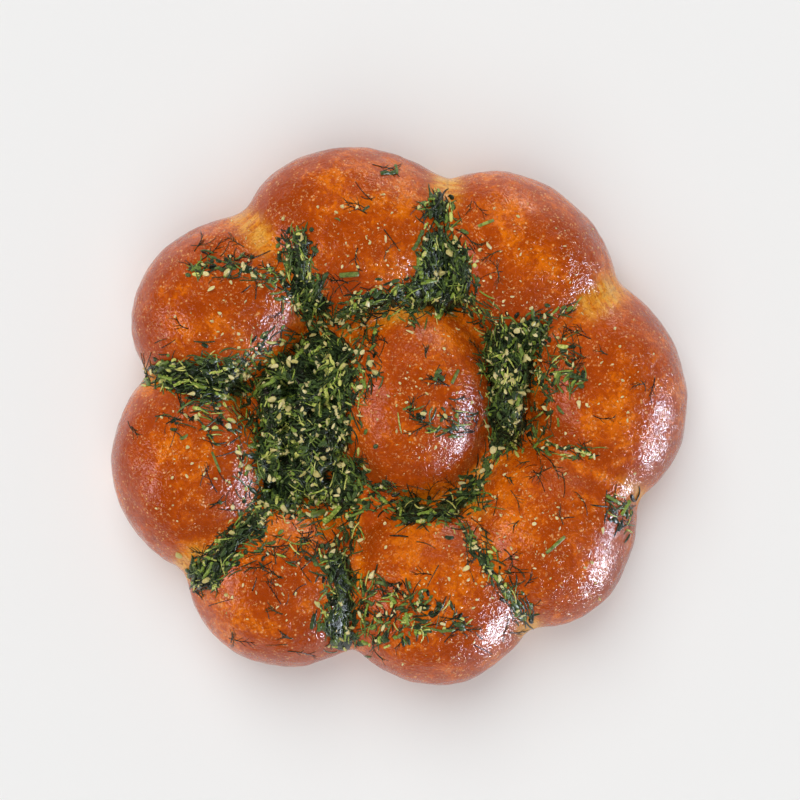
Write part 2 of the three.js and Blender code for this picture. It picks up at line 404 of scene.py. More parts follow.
def crust_finish():
    f = Finish("glazed crust")
    crease, pull, under = f.attribute("crease"), f.attribute("pull"), f.attribute("under")
    height = f.node("ShaderNodeSeparateXYZ", None, {0: f.place()}, output=2) / MM
    along = f.attribute("along")
    crossways = f.node("ShaderNodeCombineXYZ", None, {0: along, 1: crease * 0.8, 2: height * 0.05})

    tone = f.clouds(24, 3.0, 0.6) * 0.62 + f.clouds(4, 3.0, 0.65, 0.8) * 0.38
    low_part = 1 - height.between(8, 26)
    baked = (tone.between(0.36, 0.66) * 0.85 + low_part * 0.20 + crease * 0.45).clamped()
    colour = f.blend(baked, DARK_GLAZE, GLAZE)
    colour = f.blend(baked.between(0.38, 1.1), colour, ORANGE)
    streaks = f.clouds(1.5, 2.0, 0.55, 0.3, where=crossways)
    gold_share = (pull * (streaks.between(0.30, 0.62) * 0.8 + 0.30)).clamped()
    colour = f.blend(gold_share, colour, GOLD)
    pale_share = (pull.between(0.5, 1.0) * streaks.between(0.48, 0.75) * 0.5).clamped()
    colour = f.blend(pale_share, colour, PALE_GOLD)
    # Painted shade: a dark line down the deepest part of each crease, fainter where the crust was
    # stretched and none underneath
    line = crease.between(0.80, 0.99) * (1 - pull * 0.6) * (1 - under)
    colour = f.blend(line * 0.7, colour, OVEN_BROWN_AND_CREASE_SHADE)
    mottle = f.clouds(1.6, 4.0, 0.65, 0.8)
    colour = f.blend(mottle.between(0.54, 0.34) * 0.65, colour, DARK_GLAZE)

    # Pale flecks: partly the crust's own pale blisters, partly painted glints from its fine bumps
    dots = 1 - f.cells(2.1).between(0.08, 0.30)
    specks_and_glints = dots * f.clouds(4.0, 2.0, 0.5).between(0.46, 0.60)
    blisters_and_glints = f.clouds(0.85, 2.0, 0.5, 0.6).between(0.57, 0.70)
    blisters_and_glints = blisters_and_glints * f.clouds(5.0, 2.0, 0.6).between(0.38, 0.60)
    specks_and_glints = (specks_and_glints * 0.8 + blisters_and_glints * 0.75).clamped() * (1 - under)
    colour = f.blend(specks_and_glints * 0.8, colour, SPECK_AND_GLINT)

    flour = f.clouds(1.0, 3.0, 0.7)
    base_colour = f.blend(f.clouds(7, 4.0, 0.6, 0.2).between(0.25, 0.75), OVEN_BROWN_AND_CREASE_SHADE, BASE_TAN)
    base_colour = f.blend(flour.between(0.60, 0.72) * 0.5, base_colour, FLOUR)
    foot = 1 - height.between(0.5, 6.0)
    colour = f.blend((foot * 0.55 + under).clamped(), colour, base_colour)

    wrinkles = f.clouds(1.8, 1.5, 0.5, 1.4)
    lines = abs(f.clouds(3.6, 1.5, 0.5, 1.6) - 0.5) * 2
    pores = 1 - f.cells(1.5).between(0.0, 0.35)
    relief = wrinkles * 0.7 + lines.between(0.0, 0.25) * 0.25 + specks_and_glints * 0.35 - pores * 0.10
    relief = relief * (1 - pull * 0.5) + streaks * pull * 0.6
    normal = f.bump(relief, 0.30)
    dull = (foot * 0.6 + under).clamped()
    rough = 0.085 + mottle.between(0.35, 0.7) * 0.07 + dull * 0.45
    return f.finished(Base_Color=colour, Roughness=rough, IOR=OIL_GLOSS, Normal=normal)


# The dill's colour by its tone, from wet and near black to a pale cut stem.
DILL_STOPS = [
    (0.0, (0.006, 0.007, 0.003)),
    (0.3, (0.022, 0.040, 0.015)),
    (0.55, (0.060, 0.102, 0.029)),
    (0.75, (0.140, 0.208, 0.038)),
    (0.90, (0.250, 0.360, 0.042)),
    (1.0, (0.660, 0.660, 0.170)),
]


def dill_finish():
    f = Finish("oiled dill")
    tone = f.attribute("tone")
    vein = f.clouds(0.8, 3.0, 0.6)
    shade = (tone + (vein - 0.5) * 0.55).clamped()
    colour = f.node("ShaderNodeValToRGB", {"stops": DILL_STOPS}, {0: shade})
    normal = f.bump(f.clouds(0.5, 3.0, 0.7), 0.08)
    rough = 0.16 + vein * 0.22
    return f.finished(Base_Color=colour, Roughness=rough, IOR=1.45, Normal=normal)


def stem_finish():
    f = Finish("oiled dill stem")
    fibres = f.clouds(0.35, 3.0, 0.6)
    tone = f.attribute("tone")
    skin = f.blend(tone.between(0.0, 1.0), (0.10, 0.17, 0.015), (0.38, 0.46, 0.06))
    colour = f.blend(fibres.between(0.35, 0.75) * 0.5, skin, (0.52, 0.50, 0.20))
    colour = f.blend(f.clouds(2.2).between(0.42, 0.62) * 0.7, colour, (0.05, 0.09, 0.008))
    normal = f.bump(fibres, 0.07)
    return f.finished(Base_Color=colour, Roughness=0.3 + fibres * 0.2, IOR=1.45, Normal=normal)


def garlic_finish():
    f = Finish("oiled garlic")
    tone = f.attribute("tone")
    flesh = f.clouds(1.1, 3.0, 0.6)
    shade = (tone * 0.7 + flesh * 0.5 - 0.1).clamped()
    colour = f.blend(shade, (0.42, 0.36, 0.07), (0.92, 0.80, 0.42))
    normal = f.bump(f.clouds(0.45, 3.0, 0.65), 0.07)
    rough = 0.24 + flesh * 0.2
    return f.finished(
        Base_Color=colour,
        Roughness=rough,
        IOR=1.47,
        Normal=normal,
        Subsurface_Weight=0.25,
        Subsurface_Radius=(0.9 * MM, 0.6 * MM, 0.3 * MM),
        Subsurface_Scale=1.0,
    )


# ---- Small things in heaps ----


class Pile:
    """Many small closed shapes in one mesh, each with its tone and its own place in the UV map."""

    def __init__(self):
        self.points, self.faces, self.spots, self.tones = [], [], [], []
        self.size = 0

    def add(self, points, faces, spots, tone):
        self.faces += [[self.size + corner for corner in face] for face in faces]
        self.points.append(points)
        self.spots.append(spots)
        self.tones.append(np.broadcast_to(tone, len(points)))
        self.size += len(points)

    def made(self, name, finish, smooth_shading=True):
        points = np.concatenate(self.points) * MM
        piece = mesh_object(name, points, self.faces, smooth_shading)
        add_attribute(piece, "tone", np.concatenate(self.tones))
        cells_wide = math.ceil(math.sqrt(len(self.spots)))
        corners = [
            (np.array(spots) * 0.9 + 0.05 + (i % cells_wide, i // cells_wide)) / cells_wide
            for i, spots in enumerate(self.spots)
        ]
        layer = piece.data.uv_layers.new(name="OFBake")
        layer.data.foreach_set("uv", np.concatenate(corners).astype(np.float32).ravel())
        piece.data.materials.append(finish)
        return piece


@functools.cache
def tube_faces(rings, sides):
    """Faces of a tube with a point at each end, and where each corner lies in its UV cell."""
    faces, spots = [], []
    tip, tail = rings * sides, rings * sides + 1
    for side in range(sides):
        after = (side + 1) % sides
        left, right = side / sides, (side + 1) / sides
        faces.append([tip, after, side])
        spots += [(left, 0), (right, 0.05), (left, 0.05)]
        for ring in range(rings - 1):
            a, b = ring * sides, (ring + 1) * sides
            low = 0.05 + 0.9 * ring / (rings - 1)
            high = 0.05 + 0.9 * (ring + 1) / (rings - 1)
            faces.append([a + side, a + after, b + after, b + side])
            spots += [(left, low), (right, low), (right, high), (left, high)]
        last = (rings - 1) * sides
        faces.append([tail, last + side, last + after])
        spots += [(left, 1), (left, 0.95), (right, 0.95)]
    return faces, spots


def add_tube(pile, path, radii, tone, sides=5, flat=1.0, blunt=0.0):
    """A thin solid along a path. flat squeezes it to a blade, and blunt keeps its ends thick."""
    path = np.asarray(path, float)
    ahead = np.gradient(path, axis=0)
    ahead /= np.linalg.norm(ahead, axis=1)[:, None] + 1e-9
    beside = np.cross(ahead, (0, 0, 1))
    beside /= np.linalg.norm(beside, axis=1)[:, None] + 1e-9
    upward = np.cross(beside, ahead)
    turns = np.arange(sides) * 2 * math.pi / sides
    radii = np.asarray(radii, float)[:, None, None]
    rings = path[:, None] + radii * (
        beside[:, None] * np.cos(turns)[None, :, None]
        + upward[:, None] * np.sin(turns)[None, :, None] * flat
    )
    reach = radii[0, 0, 0] * (0.8 - 0.75 * blunt)
    ends = [path[0] - ahead[0] * reach, path[-1] + ahead[-1] * reach]
    faces, spots = tube_faces(len(path), sides)
    pile.add(np.concatenate([rings.reshape(-1, 3), ends]), faces, spots, tone)


def crumb_shape():
    """A ball's points, its faces, and where each corner lies in its UV cell."""
    shape = bmesh.new()
    bmesh.ops.create_icosphere(shape, subdivisions=2, radius=1)
    points = np.array([v.co for v in shape.verts])
    faces = [[v.index for v in face.verts] for face in shape.faces]
    shape.free()
    spots = [tuple(0.5 + 0.5 * points[corner, :2]) for face in faces for corner in face]
    return points, faces, spots


CRUMB_POINTS, CRUMB_FACES, CRUMB_SPOTS = crumb_shape()
CRUMB_CUTS = 7  # how many planes cut each crumb


def add_crumb(pile, place, size, rng, tone):
    """A chopped crumb: a ball cut by a few random planes, longer than it is wide."""
    points = CRUMB_POINTS.copy()
    for _ in range(CRUMB_CUTS):
        cut = np.array([rng.gauss(0, 1) for _ in range(3)])
        cut /= np.linalg.norm(cut)
        beyond = np.maximum(points @ cut - rng.uniform(0.30, 0.75), 0)
        points = points - beyond[:, None] * cut
    points /= np.ptp(points[:, 0]) / 2
    points *= (1, rng.uniform(0.35, 0.75), rng.uniform(0.35, 0.60))
    pose = Euler((rng.gauss(0, 0.2), rng.gauss(0, 0.3), rng.uniform(0, 2 * math.pi)))
    points = points @ np.array(pose.to_matrix()).T * size / 2 + place
    pile.add(points, CRUMB_FACES, CRUMB_SPOTS, tone)


# ---- Surfaces to lie on ----

DROP_HEIGHT = 100  # above everything
RIM_THICKNESS = 3  # a heap thinner than this is at its rim, where shreds lie on the crust
LEAF_SUNK = 0.8  # how far a leaf sinks into a heap
GRAIN_SIZE = 21  # over about this distance the shreds' heading changes


class Ground:
    """A piece seen from above, as something to lay small things on."""

    def __init__(self, piece):
        corners = [face.vertices[:] for face in piece.data.polygons]
        self.tree = BVHTree.FromPolygons([v.co for v in piece.data.vertices], corners)

    def height(self, x, y):
        above = Vector((x * MM, y * MM, DROP_HEIGHT * MM))
        hit = self.tree.ray_cast(above, Vector((0, 0, -1)))[0]
        return None if hit is None else hit.z / MM


class Heap:
    """How thick a patch of herbs lies on the crust, over a grid of places."""

    def __init__(self, xs, ys, layer):
        self.xs, self.ys, self.layer = xs, ys, layer

    def thickness(self, x, y, sunk):
        """How far over the crust a shred lies that has sunk this far into the heap."""
        u = (x - self.xs[0]) / (self.xs[1] - self.xs[0])
        v = (y - self.ys[0]) / (self.ys[1] - self.ys[0])
        i, j = int(u), int(v)
        if u < 0 or v < 0 or i > len(self.xs) - 2 or j > len(self.ys) - 2:
            return 0.0
        corners = self.layer[i : i + 2, j : j + 2]
        thick = np.array([1 - u + i, u - i]) @ corners @ np.array([1 - v + j, v - j])
        return max(0.0, thick - sunk * min(1.0, thick / RIM_THICKNESS))


def flat_noise(x, y, size, layer):
    """Soft noise from -1 to 1 over the roll as seen from above."""
    return noise.noise(Vector((x / size, y / size, layer)))


def grain_angle(x, y):
    """The way that the shreds lie, which changes slowly over the roll."""
    return 2.6 * math.pi * flat_noise(x, y, GRAIN_SIZE, 3.7)


def lie_along(ground, x, y, heading, length, bend, lift, steps):
    """A bent path over the ground through (x, y), as points with the height of what is below."""
    path, turn = [], heading - bend / 2
    stride = length / (steps - 1)
    px, py = x - math.cos(heading) * length / 2, y - math.sin(heading) * length / 2
    for _ in range(steps):
        z = ground(px, py)
        if z is None:
            return None
        path.append((px, py, z + lift))
        turn += bend / (steps - 1)
        px += math.cos(turn) * stride
        py += math.sin(turn) * stride
    return path


# ---- Herbs ----

# How many shreds lie on 100 square millimetres, crumbs for each shred, and whether they are a mat.
PATCHES = {
    "herbs_top_bun_foot": (70, 0.10, True),
    "herbs_lower_right_seam": (22, 0.04, False),
    "herbs_left_valley": (78, 0.20, True),
    "herbs_right_valley": (82, 0.24, True),
    "herbs_top_valley": (72, 0.10, True),
    "herbs_upper_left_valley": (66, 0.10, True),
    "herbs_left_seam": (66, 0.16, True),
    "herbs_lower_left_seam": (70, 0.10, True),
    "herbs_bottom_seam": (56, 0.12, True),
    "herbs_middle_foot": (46, 0.12, True),
    "herbs_on_left_bun": (16, 0.12, False),
    "herbs_on_upper_left_bun": (30, 0.14, False),
    "herbs_on_right_bun": (22, 0.14, False),
    "herbs_on_middle_bun": (20, 0.16, False),
    "herbs_on_middle_flank": (26, 0.12, False),
    "herbs_on_lower_left_bun": (12, 0.10, False),
    "herbs_on_bottom_bun": (24, 0.22, False),
    "herbs_lower_right_edge": (26, 0.06, False),
}

# The kinds of shred: up to which share of them, least and most radius, least and most length,
# flatness, sides, how blunt the ends are, and the thickness along it.
SHREDS = {
    "thread": (0.62, (0.18, 0.36), (2.0, 8.0), 0.8, 5, 0, (0.6, 0.95, 1, 1, 0.9, 0.45)),
    "blade": (0.96, (0.45, 1.0), (1.2, 3.8), 0.35, 6, 0.4, (0.5, 0.9, 1, 0.85, 0.6)),
    "stem": (1.0, (0.3, 0.55), (1.5, 3.5), 0.85, 7, 0.9, (0.95, 1, 1, 0.9)),
}
STREWN_SHARE, STREWN_REACH = 0.32, 2.4  # how many shreds stray from their patch, and how far

# Shreds caught in the creases: the crease's points, how far they spread, how many.
SEAM_ROUTES = [
    ([(-60, 17), (-54, -8), (-53, -34)], 3.4, 150),
    ([(-60, 18), (-40, 31)], 3.0, 60),
    ([(-53, -34), (-32, -35), (-10, -34)], 3.0, 130),
    ([(-17, 26), (-16, 4), (-19, -20), (-6, -33)], 2.4, 110),
    ([(34, 34), (35, 10), (37, -12)], 2.0, 60),
    ([(53, 32), (54, 8), (50, -12)], 2.4, 80),
    ([(20, -35), (29, -27), (35, -13)], 1.7, 70),
    ([(50, -11), (61, -13), (72, -14)], 1.6, 36),
    ([(-61, 15), (-49, 19)], 2.6, 45),
    ([(-2, 45), (6, 46)], 1.6, 18),
    ([(-27, 33), (-32, 43)], 2.6, 60),
    ([(-23, 34), (-13, 41)], 2.2, 55),
    ([(-49, -34), (-57, -43)], 2.6, 50),
    ([(-18, -36), (-21, -51)], 2.6, 60),
    ([(24, 44), (29, 39), (36, 34)], 2.0, 70),
    ([(22, -40), (33, -56), (47, -76)], 0.7, 110),
    ([(-76, 56), (-64, 55), (-50, 50), (-40, 44)], 2.2, 46),
    ([(-33, 45), (-40, 58), (-42, 64)], 2.4, 50),
    ([(50, 34), (58, 38), (64, 40)], 1.8, 26),
    ([(-30, -50), (-22, -58), (-19, -68)], 2.0, 40),
    ([(-72, -60), (-62, -50)], 2.0, 26),
]

# Flat bits of leaf: x, y, heading, length, width and tone.
LEAVES = [
    (-26, 15, 70, 7, 3.0, 1.0), (-27, 7, 95, 6, 2.8, 0.96), (-25, 20, 110, 5, 2.6, 1.0),
    (-28, 11, 60, 5, 2.6, 1.05), (-25, 10, 120, 4, 2.4, 1.05), (-27, 18, 85, 5, 2.4, 1.0),
    (-4, 89, 10, 5, 2.4, 0.55), (-1, 91, 100, 4, 2.0, 0.70), (-12, 75, 40, 3, 1.6, 0.50),
    (14, 15, 60, 5, 2.6, 0.62), (15, 14, 150, 4, 2.2, 0.50), (3, 3, 20, 3, 1.6, 0.70),
    (-29, -31, 55, 7, 3.0, 0.90), (-22, 3, 100, 4, 2.2, 0.98), (-31, 24, 40, 6, 2.4, 0.90),
    (-50, 11, 25, 9, 2.8, 0.80), (-44, 14, 15, 7, 2.2, 0.74), (-86, 14, -12, 7, 2.6, 0.86),
    (-80, 12, 20, 6, 2.4, 0.92), (-88, 18, 35, 7, 2.4, 0.72), (-74, 11, -20, 6, 2.6, 0.84),
    (-67, 16, 10, 5, 2.0, 0.95), (11, 49, 10, 6, 2.6, 0.84), (7, 64, 60, 8, 2.6, 0.62),
    (15, 81, 95, 6, 2.0, 0.90), (42, 27, 50, 5, 2.4, 0.86), (38, 20, 120, 5, 2.2, 0.90),
    (44, 6, 80, 5, 2.2, 0.84), (84, -34, 50, 6, 2.6, 0.84), (79, -31, -30, 6, 2.4, 0.78),
    (-25, -37, 40, 8, 3.6, 0.90), (-70, -57, 60, 7, 2.4, 0.80), (-16, -37, 20, 6, 2.2, 0.80),
    (10, -36, 15, 6, 2.4, 0.84), (-33, -22, 60, 6, 2.2, 0.84), (-40, 2, 130, 6, 2.2, 0.80),
    (-45, -12, 160, 6, 2.4, 0.84), (-36, 24, 60, 8, 2.2, 0.88), (3, -74, 100, 5, 2.0, 0.84),
    (16, -78, -10, 9, 1.8, 0.70), (58, 14, 70, 5, 2.0, 0.78), (-12, -72, 80, 5, 2.0, 0.86),
]

# Where thin threads of dill lie by themselves on the crust: x, y, how far they spread, how many.
THREAD_SPOTS = [
    (-64, 51, 7, 16), (-83, 28, 5, 7), (-38, 62, 4, 10), (-20, 46, 5, 10), (-15, 76, 3, 9),
    (-3, 89, 2, 7), (-6, 60, 7, 6), (27, 63, 5, 9), (34, 51, 5, 10), (24, 74, 4, 4),
    (55, 11, 6, 12), (63, 30, 4, 8), (91, 11, 3, 6), (70, 18, 7, 6), (-9, 28, 4, 10),
    (-13, 11, 4, 10), (14, 13, 2, 12), (6, 4, 3, 8), (12, 20, 8, 5), (53, -17, 7, 16),
    (44, -28, 7, 10), (62, -30, 8, 8), (80, -32, 5, 8), (38, -63, 4, 8), (0, -66, 6, 14),
    (-8, -86, 5, 8), (-30, -52, 7, 30), (-49, -55, 6, 18), (-40, -70, 8, 8), (-41, -84, 6, 6),
    (-60, -84, 3, 7), (-97, -4, 3, 4), (-83, -4, 5, 8), (-66, -22, 5, 8), (-56, -8, 5, 12),
    (26, -76, 6, 8), (10, -52, 6, 6), (-28, -38, 6, 10), (30, -58, 6, 4), (82, -8, 8, 4),
]

TWIG_POINTS, BRANCH_POINTS = 8, 4  # how many points a thread and its branches are bent through
BRANCHED_SHARE = 0.6  # how many of the threads have branches
SEAM_CRUMBS = 0.12  # crumbs for each shred in the creases
LOOSE_CRUMBS = 600  # tries for the small crumbs over the whole top
LOOSE_CRUMBS_ABOVE = 20  # none of them lies below this height
STEM_SHAPE = (0.92, 1, 0.96, 1, 1.02, 0.97, 0.9)  # a cut stem's thickness along its length

EIGHT_WAYS = [(1, 0), (0.7, 0.7), (0, 1), (-0.7, 0.7), (-1, 0), (-0.7, -0.7), (0, -1), (0.7, -0.7)]
RINGS = (3, 7)  # how far round a place its patch is felt for
FRAY = 5  # how far a mat's ragged outline may reach past its patch
RAGGED_EDGE = 0.62  # the share of a patch's usual cover at which its shreds end
LOOSE_LOFT = 0.4  # how far over the crust the shreds of a loose patch may lie on each other
MAT_DEPTH, CLUMP_RISE = 2.2, 2.4  # how deep in a mat its shreds lie, and how far clumps stand out
LONG_PATCH, ALONG_SHARE = 1.9, 0.6  # in a patch this much longer than wide, more lie along it

MAT_STEP, MAT_MARGIN = 1.2, 8  # a mat's grid, and how many steps it reaches past its patch
MAT_BLURS = 12  # how often the patch's outline is softened
MAT_SUNK = 0.3  # how far the mat lies below the patch's top
MAT_DIP = 1.6  # how far the mat's hidden rim goes into the crust
MAT_THICKNESS = 1.5
LOWEST_HERBS = 12  # there is no mat below this height


def patch_tone(rng):
    """Mostly near black, with some green and a little that is bright."""
    pick = rng.random()
    if pick < 0.52:
        return rng.uniform(0.10, 0.48)
    if pick < 0.88:
        return rng.uniform(0.42, 0.76)
    return rng.uniform(0.76, 1.05)


def main_axis(points):
    """The heading of a footprint's long side, and how many times longer than wide it is."""
    spread = np.cov(np.array(points).T)
    sizes, axes = np.linalg.eigh(spread)
    return math.atan2(axes[1, 1], axes[0, 1]), math.sqrt(sizes[1] / max(sizes[0], 1e-6))


def raggedness(x, y):
    """Soft noise that eats into a patch's outline or pushes it out."""
    bays, teeth = flat_noise(x, y, 9, 4.0), flat_noise(x, y, 3.2, 14.0)
    return 0.85 * bays + 0.30 * teeth


def cover_at(patch, x, y):
    """The share of the places round this one that lie on the patch."""
    around = [
        patch.height(x + ring * dx, y + ring * dy) is not None
        for ring in RINGS
        for dx, dy in EIGHT_WAYS
    ]
    return sum(around) / len(around)


def closed_sheet(number):
    """Faces of a sheet with a top, an underside and a rim, over the numbered places of a grid.

    The underside's points come after all of the top's, in the same order.
    """
    count = number.max() + 1
    faces, edges = [], {}
    for i in range(number.shape[0] - 1):
        for j in range(number.shape[1] - 1):
            quad = [number[i, j], number[i + 1, j], number[i + 1, j + 1], number[i, j + 1]]
            if min(quad) >= 0:
                faces.append(quad)
                faces.append([corner + count for corner in reversed(quad)])
                for a, b in zip(quad, quad[1:] + quad[:1]):
                    edges[a, b] = True
    for a, b in edges:
        if (b, a) not in edges:
            faces.append([b, a, a + count, b + count])
    return faces


def patch_grid(patch, crust, xs, ys):
    """Over a grid: where the patch is, how high its top is, and how high the crust is."""
    cover = np.zeros((len(xs), len(ys)))
    tops, floors = np.zeros_like(cover), np.zeros_like(cover)
    for i, x in enumerate(xs):
        for j, y in enumerate(ys):
            top, floor = patch.height(x, y), crust.height(x, y)
            floors[i, j] = 0 if floor is None else floor
            cover[i, j] = top is not None
            tops[i, j] = floors[i, j] if top is None else max(top, floors[i, j])
    return cover, tops, floors


def add_mat(pile, patch, crust, low, high):
    """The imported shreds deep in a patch: a dark rough mass whose edge dips into the crust."""
    before, after = MAT_MARGIN * MAT_STEP, (MAT_MARGIN + 1) * MAT_STEP
    xs = np.arange(low[0] - before, high[0] + after, MAT_STEP)
    ys = np.arange(low[1] - before, high[1] + after, MAT_STEP)
    cover, tops, floors = patch_grid(patch, crust, xs, ys)
    soft = cover.copy()
    for _ in range(MAT_BLURS):
        around = [np.roll(soft, shift, axis) for shift in (1, -1) for axis in (0, 1)]
        soft = (soft + sum(around)) / 5
    grid = np.stack(np.meshgrid(xs, ys, indexing="ij"), axis=-1)
    rough = noise_at(np.dstack([grid, tops]).reshape(-1, 3), 2.6, 7.0).reshape(cover.shape)
    ragged = np.array([[raggedness(x, y) for y in ys] for x in xs])
    share = smooth(soft / soft[cover > 0].mean() + ragged, 0.50, 1.05)
    upper = floors - MAT_DIP + (tops - floors - MAT_SUNK + 0.9 * rough) * share
    number = np.full(cover.shape, -1)
    kept = (share > 0) & (floors > LOWEST_HERBS)
    number[kept] = np.arange(kept.sum())
    lower = np.minimum(upper, floors) - MAT_THICKNESS
    points = np.concatenate([np.dstack([grid, upper])[kept], np.dstack([grid, lower])[kept]])
    faces = closed_sheet(number)
    used = sorted({corner for face in faces for corner in face})
    renumber = {old: new for new, old in enumerate(used)}
    faces = [[renumber[corner] for corner in face] for face in faces]
    points = points[used]
    flat = points[:, :2] - points[:, :2].min(axis=0)
    places = flat / flat.max()
    spots = [tuple(places[corner]) for face in faces for corner in face]
    pile.add(points, faces, spots, 0.22 + 0.3 * noise_at(points, 4.0, 8.0))
    return Heap(xs, ys, (tops - floors) * share)


def add_shred(pile, ground, x, y, heading, rng, paler=0.0):
    """A piece of chopped dill: mostly a thread, sometimes a blade, seldom a bit of stem."""
    pick, bend = rng.random(), rng.gauss(0, 0.7)
    kind = next(name for name, row in SHREDS.items() if pick < row[0])
    _, radii, lengths, flat, sides, blunt, shape = SHREDS[kind]
    radius, length = rng.uniform(*radii), rng.uniform(*lengths)
    if kind == "stem":
        tone, bend = rng.uniform(0.6, 1.0), 0.1
    else:
        tone = patch_tone(rng)
    path = lie_along(ground, x, y, heading, length, bend, radius * flat * 0.8, len(shape))
    if path:
        add_tube(pile, path, radius * np.array(shape), tone + paler, sides, flat, blunt)


def add_leaf(pile, ground, x, y, heading, length, width, tone, rng):
    """A flat bit of leaf, folded a little and cut across at one end."""
    shape = np.array([rng.uniform(0.55, 1.0) for _ in range(7)]) * rng.uniform(0.6, 0.8)
    turned = math.radians(heading)
    path = lie_along(ground, x, y, turned, length, rng.gauss(0, 0.4), 0.6, len(shape))
    if path:
        path = np.array(path)
        path += [[rng.gauss(0, 0.15), rng.gauss(0, 0.15), rng.gauss(0, 0.12)] for _ in shape]
        path[:, 2] += 0.3
        add_tube(pile, path, shape * width / 2, tone, 8, 0.3, 0.8)


def places_over(low, high, count, rng):
    """Places drawn evenly over a box."""
    return [(rng.uniform(low[0], high[0]), rng.uniform(low[1], high[1])) for _ in range(count)]


def footprint(patch, low, high, count, rng):
    """Places spread over a patch, out of `count` tries over its box."""
    tries = places_over(low, high, count, rng)
    return [(x, y) for x, y in tries if patch.height(x, y) is not None]


def ragged_footprint(patch, low, high, per_cm2, full, rng):
    """Places spread over a patch whose outline is made ragged, some of them just outside it."""
    width, depth = high[:2] - low[:2]
    return [
        (x, y)
        for x, y in places_over(low, high, int(width * depth * per_cm2 / 100), rng)
        if cover_at(patch, x, y) / full + raggedness(x, y) > RAGGED_EDGE
    ]


def fill_patch(name, crust, dill, crumbs):
    """Shreds and crumbs over one patch of the frame, up to its top, and some strewn round it."""
    shreds_per_cm2, crumb_share, is_mat = PATCHES[name]
    rng = random.Random(name)
    patch = Ground(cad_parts[name])
    low, high = (np.array(corner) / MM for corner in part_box(name))
    tries = int((high[0] - low[0]) * (high[1] - low[1]) * shreds_per_cm2 / 100)
    inside = footprint(patch, low, high, tries, rng)
    axis, longer = main_axis(inside)
    heap = None
    if is_mat:
        heap = add_mat(dill, patch, crust, low, high)
        full = np.mean([cover_at(patch, x, y) for x, y in inside[:200]])
        inside = ragged_footprint(patch, low - FRAY, high + FRAY, shreds_per_cm2, full, rng)
    for x, y in inside:
        clump = flat_noise(x, y, 5, 2)
        if is_mat:
            depth = rng.random() ** 1.4 * MAT_DEPTH - CLUMP_RISE * clump
        else:
            depth = rng.uniform(0, LOOSE_LOFT)
        if rng.random() < STREWN_SHARE:
            x, y = x + rng.gauss(0, STREWN_REACH), y + rng.gauss(0, STREWN_REACH)

        def ground(px, py):
            floor = crust.height(px, py)
            if floor is None:
                return None
            return floor + (heap.thickness(px, py, depth) if heap else depth)

        heading = grain_angle(x, y) + rng.gauss(0, 0.55)
        if longer > LONG_PATCH and rng.random() < ALONG_SHARE:
            heading = axis + rng.gauss(0, 0.45)
        paler = 0.42 * flat_noise(x, y, 5, 6)
        add_shred(dill, ground, x, y, heading, rng, paler)
        crumbs_here = crumb_share * (0.4 + 2.4 * max(0, flat_noise(x, y, 6, 9)))
        if rng.random() < crumbs_here:
            top = ground(x, y)
            if top is not None:
                size = rng.choice((1.2, 1.6, 2.0, 2.4, 3.0)) * rng.uniform(0.85, 1.2)
                add_crumb(crumbs, (x, y, top + size * 0.22), size, rng, rng.uniform(0.1, 1))
    return heap


def sprinkle_seams(crust, dill, crumbs):
    """Shreds caught in the creases between the patches."""
    rng = random.Random(23)
    for route, spread, count in SEAM_ROUTES:
        for _ in range(count):
            leg = rng.randrange(len(route) - 1)
            (ax, ay), (bx, by) = route[leg : leg + 2]
            share = rng.random()
            x = ax + (bx - ax) * share + rng.gauss(0, spread)
            y = ay + (by - ay) * share + rng.gauss(0, spread)
            heading = math.atan2(by - ay, bx - ax) + rng.gauss(0, 0.5)
            add_shred(dill, crust.height, x, y, heading, rng)
            z = crust.height(x, y)
            if z is not None and rng.random() < SEAM_CRUMBS:
                size = rng.uniform(1.2, 2.8)
                add_crumb(crumbs, (x, y, z + size * 0.25), size, rng, rng.uniform(0.3, 1))


def add_twigs(pile, ground, rng, where, count, reach):
    """Thin bent threads of dill lying on the crust, some of them branched."""
    for _ in range(count):
        x0, y0 = rng.choice(where)
        x, y = x0 + rng.gauss(0, reach), y0 + rng.gauss(0, reach)
        heading = grain_angle(x * 1.3, y * 1.3) + rng.gauss(0, 0.8)
        length, bend = rng.uniform(3, 11), rng.gauss(0, 0.6)
        radius = rng.uniform(0.12, 0.22)
        path = lie_along(ground, x, y, heading, length, bend, radius * 0.7, TWIG_POINTS)
        if not path:
            continue
        tone = rng.uniform(0.0, 0.35)
        radii = radius * np.linspace(1.15, 0.7, TWIG_POINTS)
        add_tube(pile, path, radii, tone, 4)
        if rng.random() < BRANCHED_SHARE:
            for step in range(2, TWIG_POINTS - 1):
                side = rng.choice((-1, 1)) * rng.uniform(0.4, 0.8)
                bx, by = path[step][:2]
                away = heading + bend * (step / TWIG_POINTS - 0.5) + side
                short = rng.uniform(1.4, 3.6)
                cx, cy = bx + math.cos(away) * short / 2, by + math.sin(away) * short / 2
                twig = lie_along(ground, cx, cy, away, short, 0.3, radius * 0.7, BRANCH_POINTS)
                if twig:
                    thinner = radius * 0.75 * np.linspace(1, 0.6, BRANCH_POINTS)
                    add_tube(pile, twig, thinner, tone, 4)


def make_patches(crust, crumbs, look):
    """A heap of shreds in place of each patch of the frame. Gives back the mats' thicknesses."""
    heaps = []
    for name in PATCHES:
        dill = Pile()
        heaps.append(fill_patch(name, crust, dill, crumbs))
        piece = dill.made("dill_" + name.removeprefix("herbs_"), look)
        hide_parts(name)
        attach(piece, "root")
    return [heap for heap in heaps if heap]


